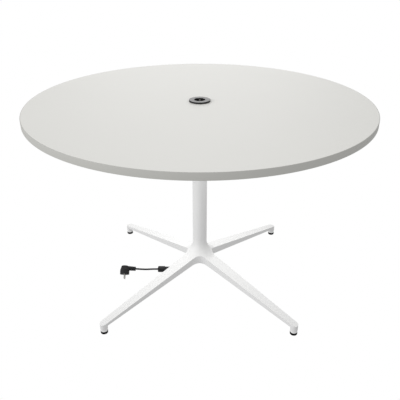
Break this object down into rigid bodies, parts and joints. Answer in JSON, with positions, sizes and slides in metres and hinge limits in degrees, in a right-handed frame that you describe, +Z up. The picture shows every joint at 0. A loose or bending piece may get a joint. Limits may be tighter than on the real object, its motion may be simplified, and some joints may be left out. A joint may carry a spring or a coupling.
{
  "type": "round conference table",
  "caption": "Round conference table with a power socket in its top, on a slim column and a flared star base with levelling feet, and a supply lead from its hub.",
  "frame": {"origin": "on the floor, under the column's axis", "axes": "+Z up; the picture looks along +Y with +X to its right, and the legs lie at 45 degrees to X and Y"},
  "size_m": [1.1998, 1.2, 0.756],
  "materials": {
    "decor_laminate": "fine matt laminate",
    "chipboard": "raw chipboard",
    "band_grey": "satin plastic edge",
    "white_coated_steel": "white powder coat",
    "white_coated_casting": "white powder coat on cast aluminium",
    "black_plastic": "moulded, fine texture",
    "trim_grey": "satin grey",
    "zinc_steel": "zinc plated",
    "contact_brass": "bare brass",
    "nickel_metal": "nickel plated",
    "pad_black": "hard black rubber",
    "collar_light": "moulded light plastic",
    "lead_black": "black cord sheath",
    "cable_grey": "grey cable sheath"
  },
  "bodies": {
    "table": {"top_core": "chipboard", "top_laminate": "decor_laminate", "backing_laminate": "decor_laminate", "edge_band": "band_grey", "power_housing": "black_plastic", "power_trim_ring": "trim_grey", "socket_insert": "black_plastic", "socket_earth_strap": "nickel_metal", "socket_contacts": "contact_brass", "power_rear_cap": "black_plastic", "power_clamp_nut": "black_plastic", "power_cores": "contact_brass", "power_cable": "cable_grey", "top_spider": "white_coated_steel", "spider_screws": "zinc_steel", "column_flange": "white_coated_steel", "flange_bolts": "zinc_steel", "flange_washers": "zinc_steel", "column_tube": "white_coated_steel", "column_lower_plate": "zinc_steel", "hub_bolts": "zinc_steel", "hub_washers": "zinc_steel", "star_base": "white_coated_casting", "hub_cover": "black_plastic", "hub_cover_screws": "zinc_steel", "junction_block": "black_plastic", "cord_bush": "lead_black", "foot_inserts": "contact_brass", "lead_plug_body": "lead_black", "lead_plug_boot": "lead_black", "lead_plug_pins": "nickel_metal", "lead_plug_earth": "nickel_metal", "lead_coil": "lead_black", "lead_tie": "lead_black", "lead_socket_body": "black_plastic", "lead_socket_contacts": "contact_brass", "lead_connector_body": "black_plastic", "lead_connector_pins": "contact_brass", "lead_connector_boot": "lead_black", "lead_plug_run": "lead_black", "lead_connector_run": "lead_black", "lead_hub_run": "lead_black"},
    "back_right_glide": {"back_right_pad": "pad_black"},
    "back_right_screw": {"back_right_stud": "zinc_steel", "back_right_collar": "collar_light"},
    "back_left_glide": {"back_left_pad": "pad_black"},
    "back_left_screw": {"back_left_stud": "zinc_steel", "back_left_collar": "collar_light"},
    "front_left_glide": {"front_left_pad": "pad_black"},
    "front_left_screw": {"front_left_stud": "zinc_steel", "front_left_collar": "collar_light"},
    "front_right_glide": {"front_right_pad": "pad_black"},
    "front_right_screw": {"front_right_stud": "zinc_steel", "front_right_collar": "collar_light"}
  },
  "joints": [
    {"name": "back_right_height", "type": "slide", "parent": "table", "child": "back_right_glide", "axis": [0, 0, -1], "range_m": [0, 0.009]},
    {"name": "back_right_turn", "type": "hinge", "parent": "back_right_glide", "child": "back_right_screw", "pos_m": [0.338, 0.338, 0.015], "axis": [0, 0, -1], "range_deg": [0, 2160]},
    {"name": "back_left_height", "type": "slide", "parent": "table", "child": "back_left_glide", "axis": [0, 0, -1], "range_m": [0, 0.009]},
    {"name": "back_left_turn", "type": "hinge", "parent": "back_left_glide", "child": "back_left_screw", "pos_m": [-0.338, 0.338, 0.015], "axis": [0, 0, -1], "range_deg": [0, 2160]},
    {"name": "front_left_height", "type": "slide", "parent": "table", "child": "front_left_glide", "axis": [0, 0, -1], "range_m": [0, 0.009]},
    {"name": "front_left_turn", "type": "hinge", "parent": "front_left_glide", "child": "front_left_screw", "pos_m": [-0.338, -0.338, 0.015], "axis": [0, 0, -1], "range_deg": [0, 2160]},
    {"name": "front_right_height", "type": "slide", "parent": "table", "child": "front_right_glide", "axis": [0, 0, -1], "range_m": [0, 0.009]},
    {"name": "front_right_turn", "type": "hinge", "parent": "front_right_glide", "child": "front_right_screw", "pos_m": [0.338, -0.338, 0.015], "axis": [0, 0, -1], "range_deg": [0, 2160]}
  ],
  "couplings": [
    {"joint": "back_right_turn", "follows": "back_right_height", "rad_per_m": 4188.8},
    {"joint": "back_left_turn", "follows": "back_left_height", "rad_per_m": 4188.8},
    {"joint": "front_left_turn", "follows": "front_left_height", "rad_per_m": 4188.8},
    {"joint": "front_right_turn", "follows": "front_right_height", "rad_per_m": 4188.8}
  ]
}
